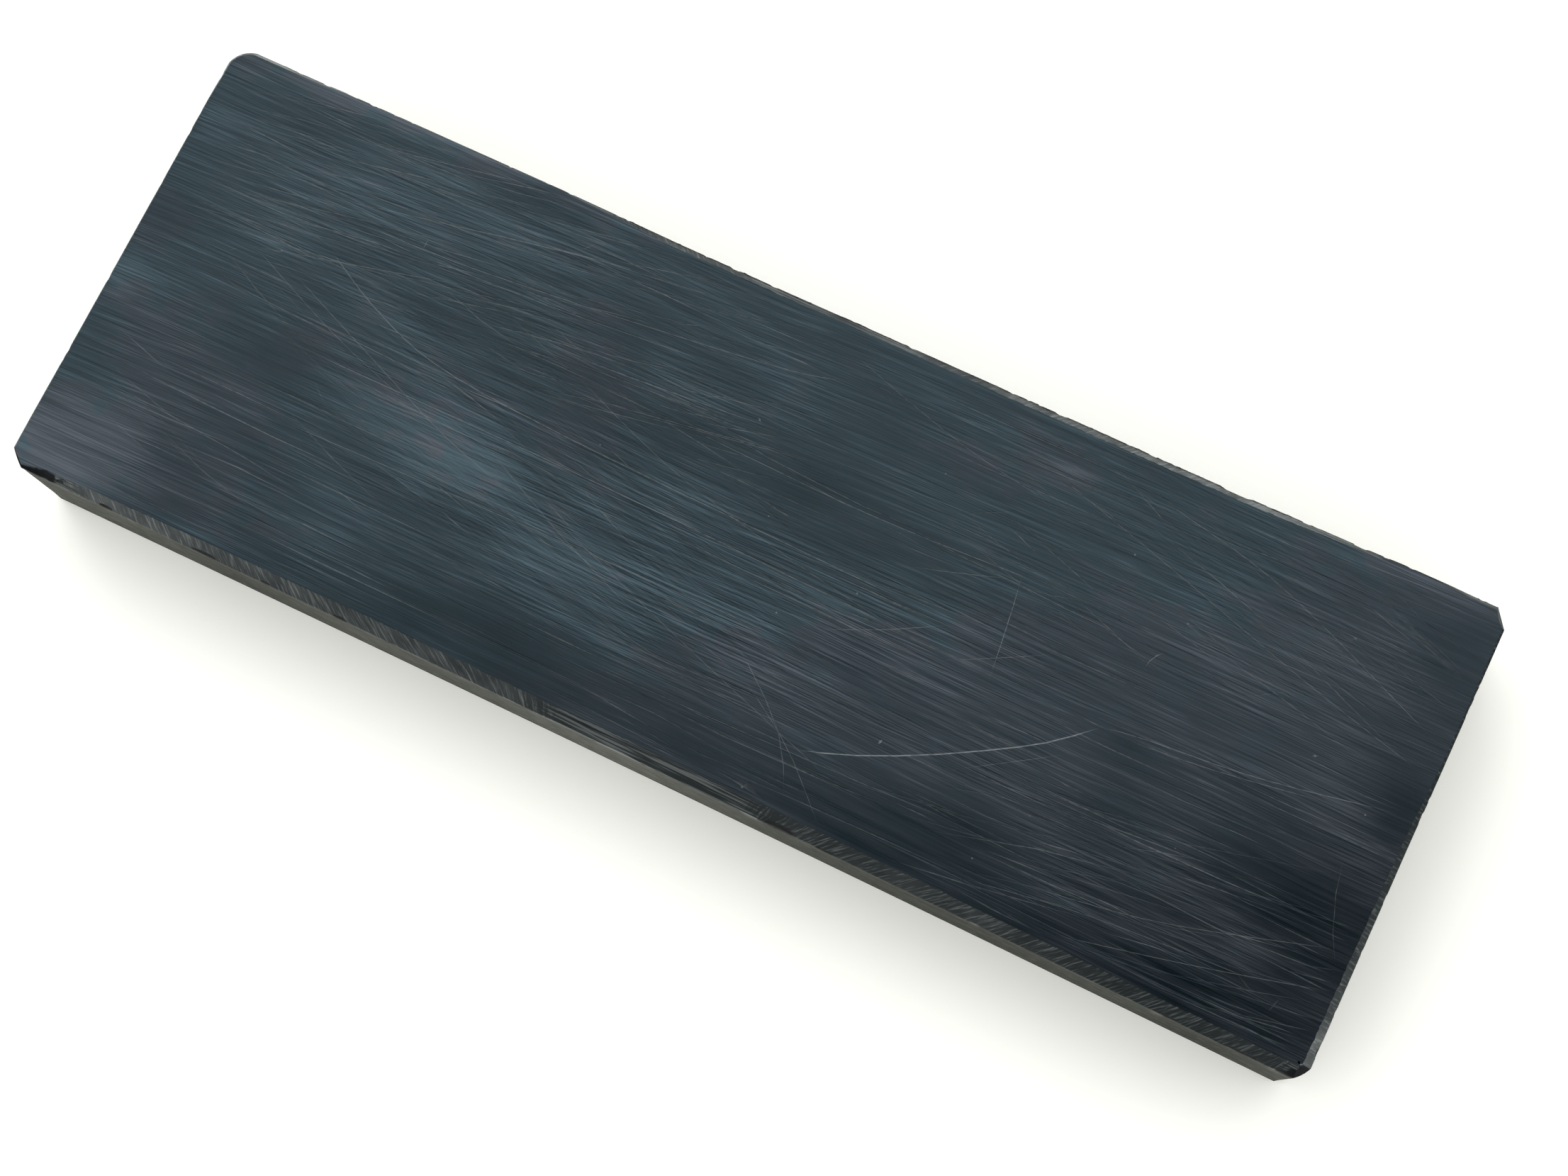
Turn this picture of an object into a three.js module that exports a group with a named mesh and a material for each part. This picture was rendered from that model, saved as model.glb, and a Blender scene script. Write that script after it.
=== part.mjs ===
// Stone slab for leatherwork: one solid block of dense, fine-grained stone, in millimetres, +Z up.
// The block lies on its underside, with its length along X and its width along Y. The origin is the
// middle of the underside. Its working face is lapped flat. The four upper arrises are ground off by
// hand, broad on the near side (-Y), broad to narrow on the far side (+Y), growing towards one corner
// on the right-hand end (+X), and hardly at all on the left-hand end (-X). Every upright corner is
// clipped, and both long sides are very slightly hollow, as sawn.

import * as THREE from "three";

// Driving dimensions.
const LENGTH = 200; // X
const WIDTH = 70; // Y
const THICKNESS = 20; // Z
const STONE = { color: 0x3d4750, roughness: 0.5, metalness: 0 };

const CHAMFER_DROP = 1; // fall of an upper chamfer for each millimetre of its width: 45 degrees
const FLOOR_EASE = 0.4; // width and height of the small bevel round the underside
const STATION_STEP = 4; // longest distance between two stations along a side

// The sides in order, seen from above and taken anticlockwise from the near left corner. Each has its
// hollow at mid-length, and the width of its upper chamfer at some shares of its length.
const SIDES = [
  {
    name: "near",
    hollow: 0.32,
    chamfer: [
      [0, 0.75],
      [0.04, 1.1],
      [0.14, 1.6],
      [0.25, 1.8],
      [0.5, 1.95],
      [0.75, 1.85],
      [1, 1.5],
    ],
  },
  {
    name: "right",
    hollow: 0.03,
    chamfer: [
      [0, 1.2],
      [0.3, 1.05],
      [0.5, 0.9],
      [0.65, 0.45],
      [1, 0.25],
    ],
  },
  {
    name: "far",
    hollow: 0.14,
    chamfer: [
      [0, 1.3],
      [0.05, 1.0],
      [0.16, 0.65],
      [0.27, 1.1],
      [0.5, 1.1],
      [0.62, 0.9],
      [0.73, 0.3],
      [0.93, 0.25],
      [1, 0.5],
    ],
  },
  {
    name: "left",
    hollow: 0.07,
    chamfer: [
      [0, 0.3],
      [0.1, 0.15],
      [1, 0.15],
    ],
  },
];

// The clip at the corner before each side, in the same order: how far it reaches back along the side
// before it and on along the side after it, how far it swells from a flat towards the full corner
// (0 to 1), and its size at the underside as a share of its size at the top.
const CORNERS = [
  { name: "near left", back: 2.2, on: 2.4, swell: 0.1, floorShare: 0.6, steps: 3 },
  { name: "near right", back: 1.7, on: 2.2, swell: 0.27, floorShare: 1, steps: 3 },
  { name: "far right", back: 2.7, on: 1.9, swell: 0, floorShare: 1, steps: 1 },
  { name: "far left", back: 3.1, on: 3.0, swell: 0.6, floorShare: 1, steps: 6 },
];

// The full rectangle's corners, in the order of CORNERS.
const RECTANGLE = [
  new THREE.Vector2(-LENGTH / 2, -WIDTH / 2),
  new THREE.Vector2(LENGTH / 2, -WIDTH / 2),
  new THREE.Vector2(LENGTH / 2, WIDTH / 2),
  new THREE.Vector2(-LENGTH / 2, WIDTH / 2),
];

// The value at share t along a list of [share, value] points, joined by straight lines.
function along(points, t) {
  for (let i = 1; i < points.length; i += 1) {
    const [t0, v0] = points[i - 1];
    const [t1, v1] = points[i];
    if (t <= t1) return THREE.MathUtils.mapLinear(t, t0, t1, v0, v1);
  }
  return points[points.length - 1][1];
}

// Where side i starts and ends once its two corners are clipped, with the clips at the given size:
// 1 for the top of the block, 0 for the underside, or between.
function sideEnds(i, level) {
  const next = (i + 1) % 4;
  const a = RECTANGLE[i];
  const b = RECTANGLE[next];
  const direction = b.clone().sub(a).normalize();
  const size = (corner) => THREE.MathUtils.lerp(corner.floorShare, 1, level);
  return {
    direction,
    start: a.clone().addScaledVector(direction, CORNERS[i].on * size(CORNERS[i])),
    end: b.clone().addScaledVector(direction, -CORNERS[next].back * size(CORNERS[next])),
  };
}

// The stations round the block at one level, anticlockwise from above. Each has its place, the
// direction straight into the block, and the width of the upper chamfer there.
function stations(level) {
  const list = [];
  for (let i = 0; i < 4; i += 1) {
    const before = sideEnds((i + 3) % 4, level);
    const side = sideEnds(i, level);
    const widthBefore = along(SIDES[(i + 3) % 4].chamfer, 1);
    const widthHere = along(SIDES[i].chamfer, 0);
    const inwardBefore = new THREE.Vector2(-before.direction.y, before.direction.x);
    const inward = new THREE.Vector2(-side.direction.y, side.direction.x);

    const middle = before.end.clone().lerp(side.start, 0.5);
    const pull = middle.lerp(RECTANGLE[i], CORNERS[i].swell);
    const clip = new THREE.QuadraticBezierCurve(before.end, pull, side.start);
    for (let k = 1; k < CORNERS[i].steps; k += 1) {
      const t = k / CORNERS[i].steps;
      list.push({
        place: clip.getPoint(t),
        inward: inwardBefore.clone().lerp(inward, t).normalize(),
        chamfer: THREE.MathUtils.lerp(widthBefore, widthHere, t),
      });
    }

    const steps = Math.ceil((i % 2 === 0 ? LENGTH : WIDTH) / STATION_STEP);
    for (let k = 0; k <= steps; k += 1) {
      const t = k / steps;
      const hollow = SIDES[i].hollow * (1 - (2 * t - 1) ** 2);
      const turned = k === 0 ? inwardBefore : k === steps ? nextInward(i) : inward;
      list.push({
        place: side.start.clone().lerp(side.end, t).addScaledVector(inward, hollow),
        inward: inward.clone().lerp(turned, 0.35).normalize(),
        chamfer: along(SIDES[i].chamfer, t),
      });
    }
  }
  return list;
}

// The direction into the block from the side after side i.
function nextInward(i) {
  const { direction } = sideEnds((i + 1) % 4, 1);
  return new THREE.Vector2(-direction.y, direction.x);
}

// A ring of points: each station moved into the block by inset(station), at the height z(station).
function ring(list, inset, z) {
  return list.map((s) => {
    const p = s.place.clone().addScaledVector(s.inward, inset(s));
    return new THREE.Vector3(p.x, p.y, z(s));
  });
}

// The block's closed surface: rings from the underside up to the working face, joined by bands and
// closed by a flat cap at each end.
function slabGeometry() {
  const floor = stations(0);
  const top = stations(1);
  const rings = [
    ring(floor, () => FLOOR_EASE, () => 0),
    ring(floor, () => 0, () => FLOOR_EASE),
    ring(top, () => 0, (s) => THICKNESS - CHAMFER_DROP * s.chamfer),
    ring(top, (s) => s.chamfer, () => THICKNESS),
  ];
  const count = top.length;
  const positions = rings.flat().flatMap((p) => [p.x, p.y, p.z]);
  const index = [];
  for (let level = 0; level + 1 < rings.length; level += 1) {
    for (let i = 0; i < count; i += 1) {
      const j = (i + 1) % count;
      const low = level * count;
      const high = low + count;
      index.push(low + i, low + j, high + j, low + i, high + j, high + i);
    }
  }
  const outline = (points) => points.map((p) => new THREE.Vector2(p.x, p.y));
  for (const [a, b, c] of THREE.ShapeUtils.triangulateShape(outline(rings[0]), [])) {
    index.push(a, c, b);
  }
  const last = (rings.length - 1) * count;
  for (const [a, b, c] of THREE.ShapeUtils.triangulateShape(outline(rings[3]), [])) {
    index.push(last + a, last + b, last + c);
  }
  const geometry = new THREE.BufferGeometry();
  geometry.setAttribute("position", new THREE.Float32BufferAttribute(positions, 3));
  geometry.setIndex(index);
  geometry.computeVertexNormals();
  return geometry;
}

const slab = new THREE.Mesh(slabGeometry(), new THREE.MeshStandardMaterial(STONE));
slab.name = "stone_slab";

const part = new THREE.Group();
part.add(slab);

export default part;
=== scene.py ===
"""Looks of the leatherworking stone slab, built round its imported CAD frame.

The slab is one dense stone block with a lapped face. Its visual mesh is made here in millimetres
and then scaled to metres: rings of points round the block, from the underside up over the
hand-ground chamfers, closed by a face into which the longer scratches are cut.
"""

import math

import bpy
import numpy as np
from mathutils import Matrix, Vector
from mathutils.geometry import delaunay_2d_cdt


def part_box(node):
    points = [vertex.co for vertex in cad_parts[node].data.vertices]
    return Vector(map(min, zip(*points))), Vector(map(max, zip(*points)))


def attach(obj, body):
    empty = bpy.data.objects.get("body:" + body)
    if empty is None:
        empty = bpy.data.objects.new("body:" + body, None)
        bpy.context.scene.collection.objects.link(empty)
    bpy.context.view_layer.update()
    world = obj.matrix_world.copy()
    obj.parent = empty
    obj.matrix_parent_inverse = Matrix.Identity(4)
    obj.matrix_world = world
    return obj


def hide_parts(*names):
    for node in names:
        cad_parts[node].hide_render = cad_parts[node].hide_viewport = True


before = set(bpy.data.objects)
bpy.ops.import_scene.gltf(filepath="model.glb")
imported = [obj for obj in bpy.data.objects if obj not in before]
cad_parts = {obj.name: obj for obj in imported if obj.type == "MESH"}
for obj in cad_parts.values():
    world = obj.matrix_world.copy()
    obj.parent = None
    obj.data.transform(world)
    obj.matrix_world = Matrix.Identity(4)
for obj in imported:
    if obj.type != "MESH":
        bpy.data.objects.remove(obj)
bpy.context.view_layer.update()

MM = 0.001
node_low, node_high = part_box("stone_slab")
LENGTH, WIDTH, THICK = ((node_high - node_low) / MM)[:]
HALF_L = LENGTH / 2
HALF_W = WIDTH / 2
SQRT2 = math.sqrt(2)
RNG = np.random.default_rng(7)


# ---- numbers


def smooth(x, low, high):
    """0 below low, 1 above high and an S-curve between. Works with low above high too."""
    t = np.clip((np.asarray(x, float) - low) / (high - low), 0, 1)
    return t * t * (3 - 2 * t)


def along(x, points):
    """The value at x on a list of (x, value) points joined by straight lines."""
    xs, values = zip(*points)
    return np.interp(x, xs, values)


def hashed(i, j, seed):
    """A repeatable number from -1 to 1 for each pair of whole numbers."""
    mask = 0xFFFFFFFF
    n = (i * 374761393 + j * 668265263 + seed * 974634777) & mask
    n = ((n ^ (n >> 13)) * 1274126177) & mask
    n = ((n ^ (n >> 16)) * 2246822519) & mask
    return ((n >> 8) & 0xFFFF) / 0x7FFF - 1


def noise(x, y, seed):
    """Smooth noise from -1 to 1, with features about one unit across."""
    x, y = np.broadcast_arrays(np.asarray(x, float), np.asarray(y, float))
    i, j = np.floor(x).astype(np.int64), np.floor(y).astype(np.int64)
    fx, fy = smooth(x - i, 0, 1), smooth(y - j, 0, 1)
    low = hashed(i, j, seed) * (1 - fx) + hashed(i + 1, j, seed) * fx
    high = hashed(i, j + 1, seed) * (1 - fx) + hashed(i + 1, j + 1, seed) * fx
    return low * (1 - fy) + high * fy


# ---- the block's outline

# Each side runs anticlockwise, seen from above: near, right, far, left. "at" gives the coordinate
# that changes along the side (X for near and far, Y for right and left).
FLOOR_EASE = 0.4

# Width of the upper chamfer along each side, at places on it.
CHAMFER = {
    "near": [(-98.4, 0.3), (-96.8, 0.45), (-95.6, 0.75), (-94.4, 1.0), (-92.6, 1.05), (-91.2, 1.0),
             (-90.4, 1.25), (-80, 1.45), (-70, 1.55), (-55, 1.72), (-40, 1.88), (0, 1.95), (30, 1.95),
             (50, 1.85), (75, 1.75), (92, 1.7), (98.4, 1.75)],
    "right": [(-33, 1.4), (-28, 1.25), (-12, 1.1), (0, 0.95), (8, 0.55), (14, 0.4), (33, 0.3)],
    "far": [(-97, 0.5), (-86, 0.45), (-82, 0.18), (-46, 0.15), (-36, 0.6), (-27, 1.0), (-10, 1.1),
            (0, 1.0), (10, 1.05), (25, 1.2), (63, 1.2), (70, 0.95), (80, 0.65), (84, 0.25),
            (91, 0.3), (94, 0.6), (98, 0.7)],
    "left": [(-33, 0.25), (-28, 0.15), (25, 0.15), (32, 0.4)],
}  # fmt: skip

# How far a grinding stroke leans along the side between the lower and the upper arris.
LEAN = {
    "near": [(-98, 0), (-90, -0.6), (-85, -1.3), (-60, -1.6), (-48, -2.2), (-30, -3.2), (-18, -1.5),
             (-8, 0), (14, 0), (26, 2.2), (36, 2.9), (48, 2.4), (60, 2.0), (94, 1.7), (98, 0)],
    "right": [(-33, 0), (33, 0)],
    "far": [(-97, 0), (-45, 0), (-38, 0.8), (-20, 1.2), (-8, 0), (4, 0), (14, -1.0), (60, -1.2),
            (84, 0), (98, 0)],
    "left": [(-33, 0), (33, 0)],
}  # fmt: skip

# How chalky (pale) the ground stone looks along each side, with painted shade in its fall towards the
# right end of the near side.
CHALK_AND_SHADE = {
    "near": [(-98, 0.2), (-90, 0.22), (-75, 0.24), (-55, 0.14), (-30, 0.1), (-20, 0.1), (-8, 0.0),
             (3, 0.05), (10, 0.02), (30, 0.05), (50, 0.06), (75, 0.01), (98, 0.03)],
    "right": [(-33, 0.5), (-29, 0.4), (-26, 0.16), (-10, 0.06), (5, 0.02), (33, 0.0)],
    "far": [(-97, 0.9), (-88, 0.8), (-83, 0.2), (-45, 0.16), (-25, 0.22), (0, 0.2), (15, 0.24),
            (48, 0.42), (64, 0.5), (70, 0.34), (76, 0.3), (84, 0.06), (90, 0.04), (94, 0.16), (98, 0.12)],
    "left": [(-33, 0.5), (33, 0.7)],
}  # fmt: skip

# How much each sawn side is dusted, from 0 to 1, with painted shade in its fall towards the right end of
# the near side.
DUST_AND_SHADE = {
    "near": [(-98, 0.5), (-75, 0.45), (-65, 0.15), (-45, 0.55), (-30, 0.5), (-5, 1.0), (5, 0.75),
             (20, 0.4), (40, 0.14), (60, 0.1), (75, 0.2), (88, 0.0), (98, 0.4)],
    "right": [(-33, 0.5), (33, 0.5)],
    "far": [(-97, 0.5), (98, 0.5)],
    "left": [(-33, 0.6), (33, 0.6)],
}  # fmt: skip

# Pale scuffs on the near side, just below its upper arris: place, half length and strength.
SCUFFS = [
    (-80, 0.8, 0.5), (-2.2, 2.0, 1.4), (18, 1.5, 1.2), (52, 0.9, 0.5), (79, 1.0, 1.3), (96, 1.2, 0.6),
]  # fmt: skip

NEAR, RIGHT, FAR, LEFT = range(4)  # numbers of the sides, and of the clips before them
NO_CLIP = -1
SIDES = [
    {"name": "near", "hollow": 0.32, "step": 0.2, "sign": 1},
    {"name": "right", "hollow": 0.03, "step": 0.3, "sign": 1},
    {"name": "far", "hollow": 0.14, "step": 0.36, "sign": -1},
    {"name": "left", "hollow": 0.07, "step": 0.8, "sign": -1},
]

# The clip before each side: how far it reaches back and on, its swell towards the full corner, and
# its size at the underside as a share of its size at the top.
CORNERS = [
    {"back": 2.2, "on": 2.4, "swell": 0.1, "floor": 0.6},
    {"back": 1.7, "on": 2.2, "swell": 0.27, "floor": 1.0},
    {"back": 2.7, "on": 1.9, "swell": 0.0, "floor": 1.0},
    {"back": 3.1, "on": 3.0, "swell": 0.6, "floor": 1.0},
]
CORNER_STEPS = 24
SIDE_SHIFT = 40.0  # moves the grinding strokes' noise from one side to the next
RECTANGLE = np.array(
    [(-HALF_L, -HALF_W), (HALF_L, -HALF_W), (HALF_L, HALF_W), (-HALF_L, HALF_W)]
)


def side_ends(i, level):
    """Start, end and direction of side i with its clips at a level: 0 underside, 1 top."""
    a, b = RECTANGLE[i], RECTANGLE[(i + 1) % 4]
    direction = (b - a) / np.linalg.norm(b - a)
    first, second = CORNERS[i], CORNERS[(i + 1) % 4]
    start = a + direction * first["on"] * (first["floor"] + (1 - first["floor"]) * level)
    end = b - direction * second["back"] * (second["floor"] + (1 - second["floor"]) * level)
    return start, end, direction


def inward_of(i):
    """The direction straight into the block from side i."""
    d = side_ends(i, 1)[2]
    return np.array([-d[1], d[0]])


def end_coordinate(i, which):
    """The coordinate along side i at its start (0) or end (1)."""
    return side_ends(i, 1)[which][0 if i % 2 == 0 else 1]


def place_on(i, t, level):
    """Points of side i at shares t of its length, hollow included."""
    start, end, _ = side_ends(i, level)
    bow = SIDES[i]["hollow"] * (1 - (2 * t - 1) ** 2)
    return start + t[:, None] * (end - start) + bow[:, None] * inward_of(i)


def stations(lean_share):
    """All stations round the block, with the columns leant by a share of each side's lean.

    Gives a dict of arrays: place at the underside and the top, inward direction, chamfer width,
    the coordinate along the side, the column's own coordinate, the side's number, the clip's
    number (or NO_CLIP), how chalky and how dusted the stone is, with painted shade in both on the
    near side, and the lean of the column.
    """
    parts = []
    for i, side in enumerate(SIDES):
        before = (i + 3) % 4
        inward_a, inward_b = inward_of(before), inward_of(i)
        k = np.arange(1, CORNER_STEPS) / CORNER_STEPS
        at_level = []
        for level in (0, 1):
            p = side_ends(before, level)[1]
            r = side_ends(i, level)[0]
            pull = (p + r) / 2
            pull = pull + (RECTANGLE[i] - pull) * CORNERS[i]["swell"]
            at_level.append(
                np.outer((1 - k) ** 2, p) + np.outer(2 * k * (1 - k), pull) + np.outer(k**2, r)
            )
        inward = np.outer(1 - k, inward_a) + np.outer(k, inward_b)
        inward /= np.linalg.norm(inward, axis=1)[:, None]
        width_a = along(end_coordinate(before, 1), CHAMFER[SIDES[before]["name"]])
        width_b = along(end_coordinate(i, 0), CHAMFER[side["name"]])
        width = width_a + (width_b - width_a) * k
        # The two chamfers meet in a mitre: a corner station reaches the further of their inner lines.
        for inner, line, w in ((inward_a, before, width_a), (inward_b, i, width_b)):
            toward = inward @ inner
            depth = (at_level[1] - side_ends(line, 1)[0]) @ inner
            reach = np.where(toward > 0.3, (w - depth) / np.maximum(toward, 0.3), 0)
            width = np.maximum(width, reach)
        parts.append({
            "floor": at_level[0], "top": at_level[1], "inward": inward, "width": width,
            "at": np.full(len(k), end_coordinate(i, 0)), "column": 3 * k,
            "side": np.full(len(k), i), "clip": np.full(len(k), i),
            "chalk_and_shade": np.full(len(k), along(end_coordinate(i, 0), CHALK_AND_SHADE[side["name"]])),
            "dust_and_shade": np.full(len(k), along(end_coordinate(i, 0), DUST_AND_SHADE[side["name"]])),
            "lean": np.zeros(len(k)),
        })  # fmt: skip

        start, end, _ = side_ends(i, 1)
        length = np.linalg.norm(end - start)
        count = int(round(length / side["step"]))
        t = np.arange(count + 1) / count
        axis = 0 if i % 2 == 0 else 1
        own = start[axis] + t * (end[axis] - start[axis])
        lean = along(own, LEAN[side["name"]])
        shifted = t + side["sign"] * lean * lean_share / length
        at = start[axis] + shifted * (end[axis] - start[axis])
        inward = np.tile(inward_b, (count + 1, 1))
        parts.append({
            "floor": place_on(i, shifted, 0), "top": place_on(i, shifted, 1), "inward": inward,
            "width": along(at, CHAMFER[side["name"]]), "at": at, "column": own,
            "side": np.full(count + 1, i), "clip": np.full(count + 1, NO_CLIP),
            "chalk_and_shade": along(at, CHALK_AND_SHADE[side["name"]]),
            "dust_and_shade": along(at, DUST_AND_SHADE[side["name"]]), "lean": lean,
        })  # fmt: skip
    return {key: np.concatenate([p[key] for p in parts]) for key in parts[0]}


# ---- wear on the arrises

# Chips on the lower arris of a chamfer: place along the side, half length, reach and depth.
CHIPS = {
    "near": [(-84, 1.3, 0.55, 0.32), (-68, 2.3, 0.5, 0.25), (-58, 0.9, 0.45, 0.22),
             (-46, 1.3, 0.5, 0.28), (22.4, 2.7, 1.0, 0.25), (29.5, 1.7, 0.4, 0.2),
             (80, 2.3, 0.4, 0.2), (91, 2.3, 0.42, 0.24), (97, 1.4, 0.6, 0.3)],
    "right": [(-30.5, 0.8, 0.3, 0.2), (-8, 0.7, 0.3, 0.12), (4, 0.9, 0.3, 0.15)],
    "far": [(59.6, 2.4, 0.55, 0.35), (78, 1.1, 0.45, 0.3), (33, 0.9, 0.4, 0.2), (-18, 0.8, 0.35, 0.2),
            (70, 0.7, 0.3, 0.2), (47, 0.6, 0.3, 0.18)],
    "left": [(20, 0.8, 0.25, 0.12), (-5, 0.6, 0.25, 0.1)],
}  # fmt: skip
SMALL_CHIPS = {"near": 46, "right": 12, "far": 34, "left": 8}

for number, side in enumerate(SIDES):
    low_end, high_end = sorted((end_coordinate(number, 0), end_coordinate(number, 1)))
    for _ in range(SMALL_CHIPS[side["name"]]):
        CHIPS[side["name"]].append((
            RNG.uniform(low_end + 1, high_end - 1), RNG.uniform(0.2, 0.65),
            RNG.uniform(0.15, 0.4), RNG.uniform(0.04, 0.14),
        ))  # fmt: skip


def chip_weight(s, distance):
    """(push inwards in mm, how broken from 0 to 1) at a distance across the arris."""
    push = np.zeros(len(s["at"]))
    broken = np.zeros(len(s["at"]))
    for i, side in enumerate(SIDES):
        here = (s["side"] == i) & (s["clip"] == NO_CLIP)
        for centre, half, reach, depth in CHIPS[side["name"]]:
            # A chip's outline is ragged.
            ragged = 1 + 0.25 * noise(s["at"] * 3.1, distance * 5 + centre, 11)
            a = np.clip(1 - ((s["at"] - centre) / half) ** 2, 0, 1)
            b = np.clip(1 - (distance / (reach * ragged)) ** 2, 0, 1)
            weight = np.where(here, a * b, 0)
            push = np.maximum(push, depth * weight)
            broken = np.maximum(broken, smooth(weight, 0.1, 0.45) * smooth(depth, 0.08, 0.2))
    return push, broken


def natural_break(s, share):
    """Where the stone is broken, not ground, from 0 to 1, at a share of the way up the chamfer.

    A black break at the near left, the facets of the two near clips, and the foot of the far side's
    chamfer.
    """
    near = (s["side"] == NEAR) & (s["clip"] == NO_CLIP)
    edge = 0.12 * noise(s["at"] * 1.3, share * 3, 21)
    torn = 1.1 * noise(s["at"] * 0.9, share * 3.4, 22) + 0.5 * noise(s["at"] * 2.6, share * 7, 23)
    left = np.where(near, smooth(s["at"] + torn, -91.0, -92.4), 0)
    left = np.maximum(left, np.where(s["clip"] == NEAR, smooth(share, 0.75, 0.55), 0))
    right = np.where(near, smooth(s["at"], 96.9, 97.9) * smooth(share, 0.75, 0.5), 0)
    right = np.maximum(right, np.where(s["clip"] == RIGHT, smooth(share, 0.95, 0.8), 0))
    far = np.where(s["side"] == FAR, smooth(share + edge, 0.24, 0.1), 0) * 0.9
    far = far * smooth(s["width"], 0.3, 0.6) * (s["clip"] == NO_CLIP)
    return np.clip(left + right + far, 0, 1)


def cross_ground(s):
    """1 where the strokes cross the chamfer, as at both ends, and 0 where they run along it."""
    return np.clip(smooth(np.abs(s["lean"]), 0.3, 1.2) + (s["side"] % 2 == 1), 0, 1)


def grooves(s, share, slant):
    """Depth of the grinding strokes in the chamfer, in mm, at a share of the way up it."""
    column = s["column"] + SIDE_SHIFT * s["side"]
    slanted = cross_ground(s)
    coarse = noise(column * 1.45, share * 0.9, 31)
    fine = noise(column * 3.1, share * 1.3, 32)
    level = noise(s["at"] * 0.09, slant * 3.4, 33) + 0.6 * noise(s["at"] * 0.05, slant * 6.5, 34)
    depth = slanted * (0.030 * coarse + 0.016 * fine) + (1 - slanted) * 0.026 * level
    size = smooth(s["width"], 0.15, 0.9)
    return depth * size


# ---- rings

SIDE_ROWS = [k / 5 for k in range(1, 5)]  # shares of the plain part of a side, between its arrises
ARRIS_ROWS = [1.2, 0.7, 0.35, 0.15, 0.0]  # below the chamfer's lower arris
EASE_ROWS = [(0.0, FLOOR_EASE), (0.12, 0.12), (0.45, 0.0)]  # height, inset
CHAMFER_ROWS = [0.07, 0.16, 0.28, 0.42, 0.56, 0.7, 0.82, 0.93, 1.0]
TOP_MARGIN = 0.3  # the last ring lies this far inside the upper arris, on the face
BREAK_HOLLOW = 0.46  # depth of the broken places

UP = np.array([0.0, 0.0, 1.0])
CHIP_OUT, CHIP_UP = 0.92, 0.38  # the way a chip's surface faces: outwards and a little up
STAND_IN = 0.05  # how far the sawn sides lie inside the block's outline, so that their bumps stay in it


def lifted(xy, z):
    """Points in the plane, raised to a height."""
    return np.column_stack([xy, np.broadcast_to(z, len(xy))])


def at_height(s, z):
    """The stations' places at a height, between the underside's outline and the top's."""
    share = (np.broadcast_to(z, len(s["at"])) / THICK)[:, None]
    return s["floor"] * (1 - share) + s["top"] * share


def side_relief(s, z):
    """Unevenness of a sawn side, in mm."""
    run = s["at"] + 300 * s["side"]
    broad = 0.05 * noise(run * 0.11, z * 0.1, 41) + 0.02 * noise(run * 0.5, z * 0.35, 42)
    saw = 0.012 * noise(run * 0.05, z * 1.4, 43)
    return (broad + saw) * smooth(z, 0.2, 1.5)


def scuffed(s):
    """How much paler the scuffs make the top of the near side at the stations."""
    pale = np.zeros(len(s["at"]))
    for centre, half, strength in SCUFFS:
        pale += strength * np.clip(1 - ((s["at"] - centre) / half) ** 2, 0, 1)
    return np.where((s["side"] == NEAR) & (s["clip"] == NO_CLIP), pale, 0)


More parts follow.
